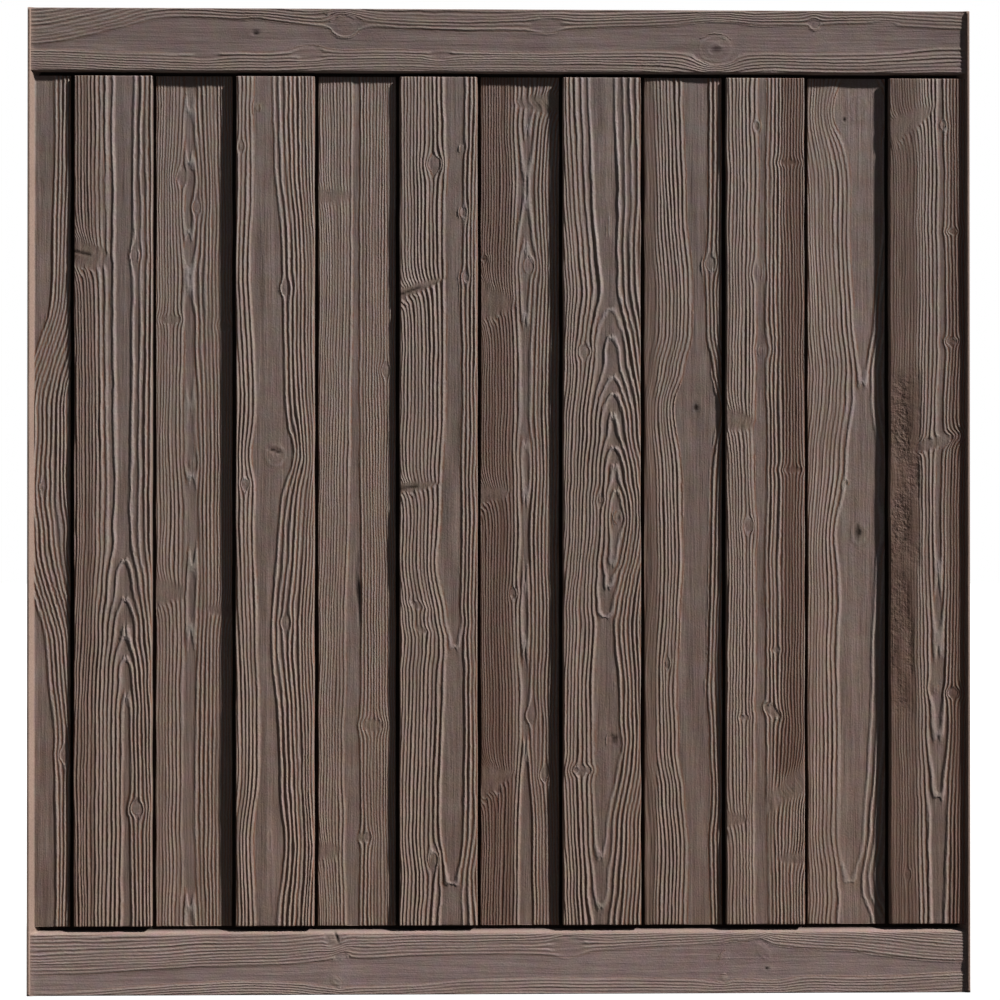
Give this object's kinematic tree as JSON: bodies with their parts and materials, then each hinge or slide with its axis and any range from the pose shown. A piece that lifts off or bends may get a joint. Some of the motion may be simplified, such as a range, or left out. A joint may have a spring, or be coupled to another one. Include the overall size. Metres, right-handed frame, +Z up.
{
  "type": "fence panel",
  "caption": "Moulded privacy fence panel: upright wood-grain boards, alternately proud and set back, between a top and a bottom rail, with a raised rim down each end.",
  "frame": {"origin": "middle of the bottom edge, at half the panel's width and depth", "axes": "+Z up, X along the panel, and the front faces -Y"},
  "size_m": [1.75, 0.054, 1.829],
  "materials": {
    "moulded_composite": "matt walnut brown with moulded wood grain"
  },
  "bodies": {
    "root": {"fence_panel": "moulded_composite"}
  },
  "joints": []
}
